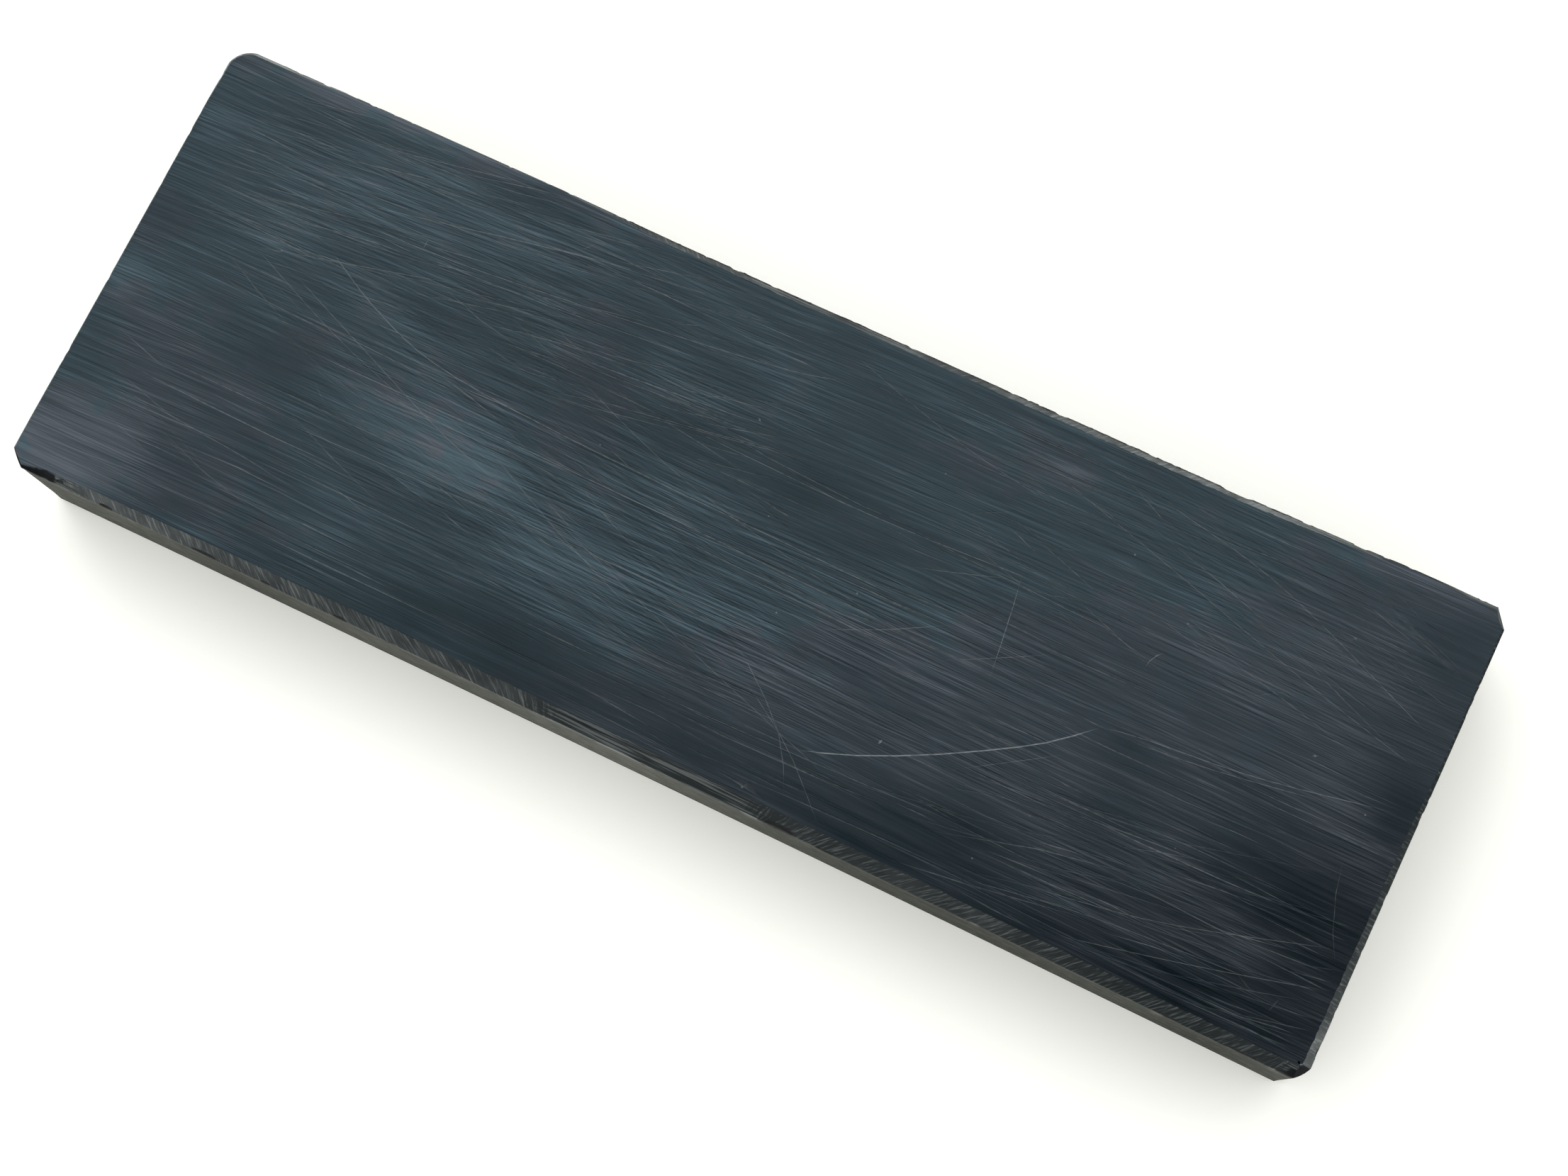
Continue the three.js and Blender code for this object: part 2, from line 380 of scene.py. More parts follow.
def build_rings():
    """Every ring of points with its broken, chalk and grain values, from the underside up.

    On the side rings the chalk_and_shade value holds how dusted the side is, painted shade included.
    """
    rings = []

    def add(points, broken, chalk_and_shade, slant, s):
        column = np.where(s["clip"] == NO_CLIP, s["column"], s["at"] + s["column"])
        column = column + SIDE_SHIFT * s["side"]
        up_chamfer = np.broadcast_to(slant, len(column))
        grain = np.column_stack([column, up_chamfer, 1 - cross_ground(s)])
        rings.append({"points": points, "broken": broken, "chalk_and_shade": chalk_and_shade, "grain": grain})

    s = stations(0)
    outward = lifted(-s["inward"], 0.0)
    arris_z = THICK - s["width"]
    none = np.zeros(len(s["at"]))
    for z, inset in EASE_ROWS:
        worn = inset + 0.12 * np.abs(noise(s["at"] * 0.8 + 50 * s["side"], z, 51)) * (z < 0.4)
        points = lifted(at_height(s, z), z) - outward * worn[:, None]
        add(points, none, s["dust_and_shade"], 0, s)
    plain_top = arris_z - ARRIS_ROWS[0]
    for share in SIDE_ROWS:
        z = EASE_ROWS[-1][0] + (plain_top - EASE_ROWS[-1][0]) * share
        points = lifted(at_height(s, z), z) - outward * (side_relief(s, z) + STAND_IN)[:, None]
        add(points, none, s["dust_and_shade"], 0, s)
    chip_way = CHIP_OUT * outward + CHIP_UP * UP
    groove_low = grooves(s, 0.0, none)
    for below in ARRIS_ROWS:
        z = arris_z - below
        push, broken = chip_weight(s, below)
        fade = smooth(below, 0.0, 1.2)
        base = lifted(at_height(s, z), z) - outward * ((side_relief(s, z) + STAND_IN) * fade)[:, None]
        notch = groove_low * SQRT2 * (1 - smooth(below, 0, 0.25))
        points = base - chip_way * push[:, None] - np.outer(notch, UP)
        add(points, broken, s["dust_and_shade"] + scuffed(s), 0, s)
    for share in CHAMFER_ROWS:
        s = stations(share)
        outward = lifted(-s["inward"], 0.0)
        width = s["width"]
        facet = natural_break(s, share)
        slant = share * width * SQRT2
        depth = grooves(s, share, slant)
        push, broken = chip_weight(s, slant)
        rough = 0.13 * noise(s["at"] * 1.1, share * 2.2, 61) + 0.07 * noise(s["at"] * 3, share * 5, 62)
        hollow = BREAK_HOLLOW * math.sin(math.pi * share)
        sunk = hollow * ((s["side"] == NEAR) + 0.5 * (s["clip"] == RIGHT))
        depth = depth * (1 - facet) + facet * (rough + sunk) * (share < 1)
        jag = 0.075 * noise(s["column"] * 2.3, 0.5, 63) + 0.05 * noise(s["column"] * 0.8, 0.5, 64)
        jag = jag * smooth(width, 0.2, 1.0) * (1 + facet) * share**5
        # A facet bulges, because it is steeper than the ground chamfer.
        inset = width * share ** (1 + 0.5 * facet * (s["clip"] != NO_CLIP))
        z = THICK - width * (1 - share)
        base = lifted(at_height(s, z) + s["inward"] * inset[:, None], z)
        if share < 1:
            normal = (outward + UP) / SQRT2
            points = base - normal * depth[:, None] - outward * jag[:, None]
            points = points - (CHIP_OUT * outward + CHIP_UP * UP) * push[:, None]
        else:
            points = base - outward * (depth * SQRT2 + jag)[:, None]
        points[:, 2] = np.minimum(points[:, 2], THICK)
        add(points, np.maximum(broken, facet), s["chalk_and_shade"], slant, s)
    inner = lifted(at_height(s, THICK) + s["inward"] * (s["width"] + TOP_MARGIN)[:, None], THICK)
    add(inner, none, s["chalk_and_shade"], 0, s)
    return rings


# ---- scratches in the face

# The long scratches: width in mm, paleness from 0 to 1, then the points that the scratch follows.
SCRATCHES = [
    (0.22, 1.0, [(20, -24), (27, -21.5), (36, -17.2), (45, -12), (51, -8), (56.4, -3.2)]),
    (0.16, 0.45, [(56.4, -3.2), (63, -2.2), (78, -0.6), (97.5, 3.2)]),
    (0.14, 0.4, [(60, -3.4), (72, -2.2), (88, 0.4)]),
    (0.15, 0.5, [(-72, 12.4), (-62, 7.4), (-50, 3.7), (-30, 2.2), (0, 1.6), (25, 1.2)]),
    (0.14, 0.45, [(-70, 18), (-55, 18.6), (-40, 20), (-22, 22), (-5, 24.2), (3, 26)]),
    (0.12, 0.35, [(-62, 17.3), (-40, 18.4), (-15, 20.6)]),
    (0.15, 0.55, [(37.4, 13), (38.4, 7), (39.2, 1), (39.9, -5.4)]),
    (0.18, 0.6, [(59.9, 9.9), (58.6, 8.4), (58.2, 6.6)]),
    (0.18, 0.5, [(-60.2, 20.6), (-60.2, 18)]),
    (0.13, 0.42, [(50.5, 29.4), (71, 24.8), (98, 14)]),
    (0.12, 0.38, [(35, 26.8), (56, 20.9), (78, 14.4), (97.6, 9.4)]),
    (0.12, 0.36, [(2, 30.6), (14, 27), (25, 24.2), (39, 22)]),
    (0.14, 0.5, [(-67, -2.2), (-20, -2.0), (24.5, -2.8)]),
    (0.12, 0.4, [(-67, -13), (-30, -11.9), (10, -10.8)]),
    (0.14, 0.5, [(-14.5, 10.7), (15, 10.2), (41, 11.4)]),
    (0.12, 0.4, [(-15, 7.4), (21, 7.3)]),
    (0.12, 0.38, [(-76, 7.4), (-60, 1), (-44, -5.2), (-30, -9)]),
    (0.12, 0.4, [(5, -13.4), (12, -18.4), (18, -24.2), (21.6, -31)]),
    (0.12, 0.38, [(9, -18), (18.6, -24), (28, -32.6)]),
    (0.13, 0.42, [(14, -8.2), (24, -3.6), (32.4, 1.2)]),
    (0.13, 0.42, [(21, 5.2), (30, 8), (38.6, 11)]),
    (0.13, 0.4, [(31, -5.1), (40, -0.4), (47.6, 3.9)]),
    (0.12, 0.36, [(39, -18.2), (48, -12.4), (54.6, -8)]),
    (0.12, 0.34, [(-32, 11), (-12, 4), (12, -1), (30, -3.4)]),
    (0.12, 0.34, [(60, 11.6), (52, 11.9), (40, 11.4)]),
    (0.12, 0.32, [(-26, -8.6), (-8, -14.8), (8, -20), (26, -25.6)]),
    (0.12, 0.34, [(-38, -4), (-24, -10.4), (-8, -16.6)]),
    (0.11, 0.3, [(-20, -16.4), (-8, -19.8), (1, -21)]),
    (0.11, 0.34, [(-84, 9), (-66, 1.6), (-50, -3.4)]),
    (0.11, 0.34, [(-13, -25.6), (20, -24.6), (44, -23.6)]),
    (0.12, 0.34, [(55, -27.4), (74, -24), (97, -17)]),
    (0.12, 0.36, [(62, -31.6), (80, -27.4), (98, -22.6)]),
    (0.12, 0.32, [(48, -30), (66, -27.2), (90, -25.4)]),
    (0.11, 0.32, [(92.6, -5), (94.4, -13), (97.8, -20)]),
]  # fmt: skip

# Specks of pale grit in small pits: centre, length, width, lean in degrees, paleness.
SPECKS = [
    (-5, 16, 0.9, 0.34, -40, 0.9), (2.3, 4, 0.35, 0.3, 0, 1.0), (9.3, -7.9, 0.4, 0.34, 60, 1.0),
    (18.2, -0.7, 0.5, 0.42, 0, 0.9), (15.7, -31.7, 0.5, 0.45, 0, 1.0), (30, -18, 1.0, 0.5, 70, 0.8),
    (82.3, 22.6, 0.6, 0.5, 0, 0.8), (61, 14.8, 0.5, 0.45, 0, 0.7), (83.8, 5.5, 0.9, 0.5, 30, 0.6),
    (-78.8, 9.5, 0.5, 0.4, 0, 0.7), (-35.9, 19, 0.5, 0.35, 0, 0.7), (40.4, 6.5, 0.5, 0.4, 0, 0.7),
    (50.5, 20.6, 0.45, 0.4, 0, 0.7), (93, 1, 0.45, 0.4, 0, 0.6), (48, -27, 0.4, 0.35, 0, 0.6),
    (-23.8, 3.2, 0.4, 0.35, 0, 0.6), (22, 20, 0.4, 0.3, 0, 0.6), (52.6, -18.4, 0.5, 0.3, 60, 0.6),
    (-56, -8, 0.35, 0.3, 0, 0.5), (72, -14, 0.35, 0.3, 0, 0.5),
]  # fmt: skip

# Lighter (above 0) and darker (below 0) places on the lapped face, partly its own haziness and partly
# painted reflection, the darker places towards the right end above all: middle, half length, half
# width, lean in degrees and strength.
HAZE_AND_REFLECTION_PATCHES = [
    (-46, -6, 18, 8, -4, 0.3), (-41, -6, 10, 6.5, 10, 0.12), (-20, -16, 15, 7.5, -12, 0.22),
    (5, -13, 22, 5, -5, 0.08), (-92, -28, 14, 9, 6, 0.36), (-95, -33, 14, 5, 0, 0.26),
    (-98, -3.5, 5, 4.5, 0, 0.3), (-62, 25.5, 28, 7, 8, 0.16), (-97, 23, 6, 4, -10, 0.2),
    (-82, 13, 11, 5.5, 30, 0.12), (-63, 7, 19, 3.6, -17, 0.1), (10, -4, 44, 7, 0, 0.06),
    (-56, -24, 15, 5, 8, 0.1), (70, 16, 24, 9, -14, 0.06), (31, 26, 9, 5, -12, 0.08),
    (-16, 16, 8, 4, 0, 0.08), (84, -21.5, 10, 2.8, -33, 0.08), (76, 0, 13, 2.8, 12, 0.08),
    (-2, 8.5, 34, 4.5, -2, -0.05), (6, 4, 26, 2.0, 1, -0.07), (12, 24, 15, 5, -10, -0.04),
    (-49, 31, 12, 3.5, 0, -0.14), (4, 10, 60, 6, 0, -0.07), (-30, -10, 34, 6, -5, 0.1),
    (-62, -18, 14, 5, 0, 0.06), (-94, -3, 8, 12, 0, 0.07), (-93, 29, 9, 6, 0, 0.07),
    (-52, 1, 20, 4, 0, 0.06), (-80, -30, 22, 6, 0, 0.08), (58, -30, 10, 5, 0, -0.05),
    (-72, 34.8, 30, 2.4, 0, 0.4), (-30, 34.6, 22, 2.0, 0, 0.3), (78, 34.6, 18, 2.4, 0, 0.2),
    (-27, 19, 6, 7, 0, -0.08), (-27, 3, 5, 9, 10, -0.05), (-15, -28.5, 46, 7, 4, -0.13),
    (38, -28, 24, 8, 4, -0.18), (63, -10, 9.5, 11.5, -15, -0.1), (60, -4.5, 6, 4, 0, -0.1),
    (88, -13, 15, 9, -10, -0.14), (95, -16, 10, 11, 0, -0.08), (76, -31, 30, 5.4, 4, -0.14),
    (82, -24, 24, 10, 0, -0.06), (93, 27, 8, 6, -20, -0.12), (98, 2, 6, 7, 0, -0.08),
    (-97, 7, 5, 5, 0, -0.12), (-72, -4, 7, 7, 10, -0.1), (-65, -16, 8, 7, 0, -0.08),
    (-75, -28, 7, 6, 0, -0.12), (-41, -16, 11, 4, 0, -0.02), (96, 12, 9, 18, 0, -0.06),
]  # fmt: skip

# Places where the stone is more purple (above 0) or more teal (below 0) than round about, written
# like HAZE_AND_REFLECTION_PATCHES.
TINTS = [
    (-60, 34.5, 45, 3, 0, 0.9), (-27, 6, 7, 13, 8, 1.0), (-35, 19, 5, 7, 0, 0.9),
    (-48, 2, 8, 4, 0, 0.7), (-82, -14, 20, 12, -20, 1.0), (-85, -28, 24, 9, 0, 1.0),
    (-99, 7, 5, 7, 0, 1.0), (-70, -2, 6, 5, 30, 0.8), (26, 22, 7, 5, 0, 0.9), (36, 27, 9, 5, 0, 0.8),
    (63, 22, 7, 10, -30, -0.8), (44, 22, 9, 5, 0, -0.8), (-48, -4, 20, 9, -4, 0.3),
    (99, -5, 18, 30, 0, 0.5),
]  # fmt: skip
TINT_LINE = ((50.0, 14.0), (-20.0, -31.0))  # the purple stone lies on the near right of this line
FACE_GRID = 2.0  # spacing of the points that carry the tone of the face

# Families of short, straight lapping scratches: how many, the middle and half size of the patch
# they lie in, their angle in degrees and its spread, and their shortest and longest length.
FAMILIES = [
    (560, (0, 0), (96, 33), 0, 1.5, 6, 45),
    (260, (-50, 20), (46, 13), 8, 3, 12, 44),
    (70, (64, -22), (34, 10), 8, 4, 10, 40),
    (80, (-44, -4), (50, 20), -15, 4, 8, 30),
    (80, (66, 20), (34, 12), -15, 4, 10, 40),
    (50, (16, -10), (44, 22), -5, 3, 8, 26),
    (14, (30, 0), (50, 28), 26, 10, 4, 14),
    (16, (0, 0), (95, 32), 0, 70, 1.5, 5),
]


def patched(xy, patches):
    """The sum of soft-edged elliptical patches at points, with their outlines made uneven."""
    x = xy[:, 0] + 2.6 * noise(xy[:, 0] * 0.11, xy[:, 1] * 0.19, 71)
    y = xy[:, 1] + 1.3 * noise(xy[:, 0] * 0.13, xy[:, 1] * 0.23, 72)
    total = np.zeros(len(xy))
    for cx, cy, half_l, half_w, lean, strength in patches:
        c, s = math.cos(math.radians(lean)), math.sin(math.radians(lean))
        u = ((x - cx) * c + (y - cy) * s) / half_l
        v = ((y - cy) * c - (x - cx) * s) / half_w
        total += strength * smooth(np.hypot(u, v), 1.15, 0.35)
    return total


def tint_at(xy):
    """How purple the stone is at points: 0 is teal, 1 is purple."""
    (x0, y0), (x1, y1) = TINT_LINE
    length = math.hypot(x1 - x0, y1 - y0)
    beyond = ((x1 - x0) * (xy[:, 1] - y0) - (y1 - y0) * (xy[:, 0] - x0)) / length
    beyond = beyond + 3.0 * noise(xy[:, 0] * 0.15, xy[:, 1] * 0.2, 73)
    return smooth(beyond, -2.5, 2.5) + patched(xy, TINTS)


def smooth_path(points, count):
    """A smooth line through the points, as count points evenly spaced in parameter."""
    p = np.array(points, float)
    if len(p) < 3:
        t = np.linspace(0, 1, 3)[:, None]
        return p[0] * (1 - t) + p[-1] * t
    p = np.vstack([2 * p[0] - p[1], p, 2 * p[-1] - p[-2]])
    out = []
    spans = len(p) - 3
    for t in np.linspace(0, spans, count):
        k = min(int(t), spans - 1)
        u = t - k
        a, b, c, d = p[k : k + 4]
        out.append(
            0.5 * (2 * b + (c - a) * u + (2 * a - 5 * b + 4 * c - d) * u**2
                   + (3 * b - a - 3 * c + d) * u**3)
        )  # fmt: skip
    return np.array(out)


def all_scratches():
    """Every scratch as (path, half width, paleness)."""
    made = []
    for width, pale, points in SCRATCHES:
        length = sum(math.dist(a, b) for a, b in zip(points, points[1:]))
        made.append((smooth_path(points, max(4, int(length / 4))), width / 2, pale))
    for x, y, length, width, lean, pale in SPECKS:
        a = math.radians(lean)
        half = np.array([math.cos(a), math.sin(a)]) * length / 2
        made.append((smooth_path([(x, y) - half, (x, y) + half], 3), width / 2, pale))
    for count, middle, size, angle, spread, shortest, longest in FAMILIES:
        for _ in range(count):
            centre = np.array(middle) + np.array(size) * RNG.uniform(-1, 1, 2)
            a = math.radians(angle + spread * RNG.normal())
            length = RNG.uniform(shortest, longest)
            along_it = np.array([math.cos(a), math.sin(a)])
            across = np.array([-along_it[1], along_it[0]])
            bend = length * RNG.normal() * 0.012
            ends = [centre - along_it * length / 2, centre + across * bend, centre + along_it * length / 2]
            pale = 0.05 + 0.34 * RNG.random() ** 3
            width = RNG.uniform(0.15, 0.24)
            made.append((smooth_path(ends, max(3, int(length / 10))), width / 2, pale))
    return made


LEFT_CLEAR = 0.35  # width kept clear of scratches at the left end
CORNER_CLEAR = 3.6  # how much of each corner is kept clear, measured along X and Y together
RIBBON_STEPS = 8  # points in which each piece of a scratch is tested against the face's outline


def inside_face(p, margin):
    """Whether points lie inside the flat face, clear of its chamfers and clips by a margin."""
    near_w = along(p[:, 0], CHAMFER["near"])
    far_w = along(p[:, 0], CHAMFER["far"])
    right_w = along(p[:, 1], CHAMFER["right"])
    share = (p[:, 0] + HALF_L) / LENGTH
    bow = 1 - (2 * share - 1) ** 2
    clear = [
        p[:, 1] + HALF_W - near_w - SIDES[NEAR]["hollow"] * bow,
        HALF_W - p[:, 1] - far_w - SIDES[FAR]["hollow"] * bow,
        HALF_L - p[:, 0] - right_w,
        p[:, 0] + HALF_L - LEFT_CLEAR,
        (HALF_L + HALF_W - np.abs(p[:, 0]) - np.abs(p[:, 1]) - CORNER_CLEAR) / SQRT2,
    ]
    return np.min(clear, axis=0) > margin


def cut_paths(scratches):
    """The scratches cut back to the parts that lie inside the face."""
    kept = []
    for path, half, pale in scratches:
        fine = np.vstack([
            a + (b - a) * k
            for a, b in zip(path, path[1:])
            for k in np.linspace(0, 1, RIBBON_STEPS + 1)[:-1, None]
        ] + [path[-1:]])  # fmt: skip
        ok = inside_face(fine, TOP_MARGIN + 0.25)
        start = None
        for k in range(len(fine) + 1):
            if k < len(fine) and ok[k]:
                start = k if start is None else start
            elif start is not None:
                piece = fine[start:k]
                if len(piece) > 5:
                    keep = np.unique(np.append(np.arange(0, len(piece), RIBBON_STEPS), len(piece) - 1))
                    kept.append((piece[keep], half, pale))
                start = None
    return kept


def ribbon(path, half):
    """Left edge, middle and right edge of a scratch. The edges meet the middle at both ends."""
    tangent = np.gradient(path, axis=0)
    tangent /= np.linalg.norm(tangent, axis=1)[:, None]
    across = np.column_stack([-tangent[:, 1], tangent[:, 0]])[1:-1] * half
    return path[1:-1] + across, path, path[1:-1] - across


def profile_at(points, scratches):
    """(depth in mm, paleness) of the scratches at points of the face."""
    depth = np.zeros(len(points))
    pale = np.zeros(len(points))
    for path, half, strength in scratches:
        last = len(path) - 2
        for k, (a, b) in enumerate(zip(path, path[1:])):
            box_low = np.minimum(a, b) - half
            box_high = np.maximum(a, b) + half
            near = np.where(np.all((points >= box_low) & (points <= box_high), axis=1))[0]
            if len(near) == 0:
                continue
            d = b - a
            t = np.clip((points[near] - a) @ d / (d @ d), 0, 1)
            gap = np.linalg.norm(points[near] - a - t[:, None] * d, axis=1)
            # A scratch narrows to nothing at both of its ends.
            wide = half * np.minimum(t if k == 0 else 1, 1 - t if k == last else 1)
            share = np.clip(1 - gap / np.maximum(wide, 1e-6), 0, 1) * wide / half
            depth[near] = np.maximum(depth[near], share * half * (0.04 + 0.45 * strength))
            pale[near] = np.maximum(pale[near], share * strength)
    return depth, pale


def filled(points, edges, border):
    """The triangles inside a border: their points, their corners and where each point came from."""
    only_inside, closest = 1, 1e-5
    made = delaunay_2d_cdt([Vector(p) for p in points], edges, [border], only_inside, closest)
    return made[0], made[2], made[3]


def face_mesh(outline):
    """The flat face inside the last ring, with the scratches cut into it."""
    scratches = cut_paths(all_scratches())
    points = [tuple(p[:2]) for p in outline]
    edges = []
    for path, half, _ in scratches:
        left, middle, right = ribbon(path, half)
        first = len(points)
        points += [tuple(p) for p in middle]
        last = len(points) - 1
        edges += [(k, k + 1) for k in range(first, last)]
        for edge in (left, right):
            k0 = len(points)
            points += [tuple(p) for p in edge]
            line = [first, *range(k0, len(points)), last]
            edges += list(zip(line, line[1:]))
    across = np.arange(-HALF_L + FACE_GRID, HALF_L, FACE_GRID)
    up = np.arange(-HALF_W + FACE_GRID, HALF_W, FACE_GRID)
    grid = np.array([(x + 0.5 * FACE_GRID * (k % 2), y) for k, y in enumerate(up) for x in across])
    points += [tuple(p) for p in grid[inside_face(grid, TOP_MARGIN + 0.5)]]
    verts, faces, origin = filled(points, edges, list(range(len(outline))))
    xy = np.array([v[:] for v in verts])
    depth, pale = profile_at(xy, scratches)
    return xy, faces, origin, depth, pale


# ---- the mesh

FACE, SAWN, GROUND, UNDER = range(4)  # what a polygon of the mesh belongs to


def band_quads(rings):
    """The quads between each ring and the next, and what each belongs to."""
    count = len(rings[0]["points"])
    i = np.arange(count)
    j = (i + 1) % count
    side_rings = len(EASE_ROWS) + len(SIDE_ROWS) + len(ARRIS_ROWS)
    quads = []
    zone = []
    for k in range(len(rings) - 1):
        low, high = k * count, (k + 1) * count
        quads += np.column_stack([low + i, low + j, high + j, high + i]).tolist()
        zone += [SAWN if k < side_rings - 1 else GROUND if k < len(rings) - 2 else FACE] * count
    return quads, zone


def face_triangles(rings):
    """The face's triangles, with the points that lie inside the last ring and their paleness."""
    count = len(rings[0]["points"])
    xy, faces, origin, depth, pale = face_mesh(rings[-1]["points"])
    base = (len(rings) - 1) * count
    index = np.full(len(xy), -1)
    for k, sources in enumerate(origin):
        border = [source for source in sources if source < count]
        if border:
            index[k] = base + border[0]
    extra = np.where(index < 0)[0]
    index[extra] = base + count + np.arange(len(extra))
    triangles = [[int(index[v]) for v in f] for f in faces]
    return triangles, lifted(xy[extra], THICK - depth[extra]), pale[extra]


def floor_triangles(ring):
    """The underside's triangles, facing down."""
    _, faces, origin = filled([p[:2] for p in ring], [], list(range(len(ring))))
    return [[origin[v][0] for v in reversed(f)] for f in faces]


def build_slab():
    """The slab's visual object, with the values that its material reads stored on its mesh."""
    rings = build_rings()
    quads, zone = band_quads(rings)
    triangles, inner, pale = face_triangles(rings)
    underside = floor_triangles(rings[0]["points"])
    zone = np.array(zone + [FACE] * len(triangles) + [UNDER] * len(underside))
    points = np.vstack([*(ring["points"] for ring in rings), inner])
    mesh = bpy.data.meshes.new("stone_slab_visual")
    mesh.from_pydata((points * MM).tolist(), [], quads + triangles + underside)
    mesh.polygons.foreach_set("use_smooth", (zone == SAWN) | (zone == GROUND))

    def gathered(key):
        """The rings' values, and zeros for the points inside the face."""
        values = np.concatenate([ring[key] for ring in rings])
        return np.concatenate([values, np.zeros((len(inner), *values.shape[1:]))])

    def store(name, values, domain="POINT", kind="FLOAT", field="value"):
        made = mesh.attributes.new(name, kind, domain)
        made.data.foreach_set(field, np.asarray(values, np.float32).ravel())

    store("broken", gathered("broken"))
    store("chalk_and_shade", gathered("chalk_and_shade"))
    store("scratch", np.append(np.zeros(len(points) - len(inner)), pale))
    # The tone: the face's haziness together with painted reflection.
    store("tone", patched(points, HAZE_AND_REFLECTION_PATCHES))
    store("tint", tint_at(points))
    store("grain", gathered("grain"), kind="FLOAT_VECTOR", field="vector")
    store("is_ground", zone == GROUND, "FACE")
    store("is_sawn", (zone == SAWN) | (zone == UNDER), "FACE")
    mesh.validate()
    mesh.update()
    slab = bpy.data.objects.new("stone_slab_body", mesh)
    bpy.context.scene.collection.objects.link(slab)
    print("slab: triangles", 2 * len(quads) + len(triangles) + len(underside))
    return slab


slab = build_slab()


# ---- materials


class Graph:
    """Short calls for making shader nodes."""

    def __init__(self, tree):
        self.tree = tree
        tree.nodes.clear()

    def add(self, kind, inputs=(), **settings):
        node = self.tree.nodes.new(kind)
        for key, value in settings.items():
            setattr(node, key, value)
        for name, value in dict(inputs).items():
            self.plug(node.inputs[name], value)
        return node

    def plug(self, socket, value):
        if isinstance(value, bpy.types.NodeSocket):
            self.tree.links.new(value, socket)
        else:
            socket.default_value = value

    def math(self, operation, *values, clamp=False):
        node = self.add("ShaderNodeMath", enumerate(values), operation=operation, use_clamp=clamp)
        return node.outputs[0]

    def times(self, a, b, clamp=False):
        return self.math("MULTIPLY", a, b, clamp=clamp)

    def vector(self, operation, *values):
        return self.add("ShaderNodeVectorMath", enumerate(values), operation=operation).outputs[0]

    def ramp(self, value, low, high, to_low=0.0, to_high=1.0):
        """A smooth step between two values. It falls where low lies above high."""
        inputs = {"Value": value, "From Min": low, "From Max": high, "To Min": to_low, "To Max": to_high}
        return self.add("ShaderNodeMapRange", inputs, interpolation_type="SMOOTHSTEP").outputs[0]

    def turned(self, vector, degrees, scale, shift=(0, 0, 0)):
        """The vector moved, turned about Z against the given angle, and scaled."""
        inputs = {"Vector": self.vector("ADD", vector, shift), "Angle": math.radians(-degrees)}
        node = self.add("ShaderNodeVectorRotate", inputs, rotation_type="Z_AXIS")
        return self.vector("MULTIPLY", node.outputs[0], scale)

    def noise(self, vector, stretch=None, scale=1.0, detail=2.0, rough=0.5, dims="2D"):
        """Noise from 0 to 1 at a vector, whose axes can be multiplied by three numbers first."""
        if stretch:
            vector = self.vector("MULTIPLY", vector, stretch)
        inputs = {"Vector": vector, "Scale": scale, "Detail": detail, "Roughness": rough}
        return self.add("ShaderNodeTexNoise", inputs, noise_dimensions=dims).outputs["Fac"]

    def attribute(self, name, output="Fac"):
        return self.add("ShaderNodeAttribute", attribute_name=name).outputs[output]

    def mix(self, factor, a, b):
        """Colour a where the factor is 0 and colour b where it is 1."""
        return self.add("ShaderNodeMix", {0: factor, 6: a, 7: b}, data_type="RGBA").outputs[2]

    def blend(self, factor, a, b):
        """Number a where the factor is 0 and number b where it is 1."""
        return self.add("ShaderNodeMix", {0: factor, 2: a, 3: b}, data_type="FLOAT").outputs[0]


def rgb(r, g, b):
    """A colour of full opacity."""
    return (r, g, b, 1.0)


DEEP_STONE = rgb(0.0012, 0.0035, 0.0048)
# Colours of the face where its haziness and the painted reflection in the tone are strongest.
TEAL_HAZE_AND_REFLECTION = rgb(0.041, 0.063, 0.075)
PURPLE_HAZE_AND_REFLECTION = rgb(0.057, 0.063, 0.075)
CRUSHED = rgb(0.17, 0.178, 0.178)  # in the scratches
BROKEN = rgb(0.004, 0.002, 0.002)
GROUND_DARK = rgb(0.0025, 0.0028, 0.0024)
GROUND_PALE = rgb(0.158, 0.17, 0.166)
SAWN_BARE = rgb(0.016, 0.014, 0.0072)
SAWN_DUSTY = rgb(0.07, 0.069, 0.056)
SAWN_MARK = rgb(0.09, 0.089, 0.072)
SAWN_PALE = rgb(0.11, 0.108, 0.088)
SAWN_DARK = rgb(0.014, 0.0125, 0.008)
# Painted shade at the foot of the sawn sides.
SAWN_FOOT_SHADE = rgb(0.01, 0.009, 0.004)


def new_material(name):
    """A material, its graph and, as a vector in it, the place on the object in millimetres."""
    material = bpy.data.materials.new(name)
    material.use_nodes = True
    g = Graph(material.node_tree)
    p = g.vector("MULTIPLY", g.add("ShaderNodeTexCoord").outputs["Object"], [1 / MM] * 3)
    return material, g, p


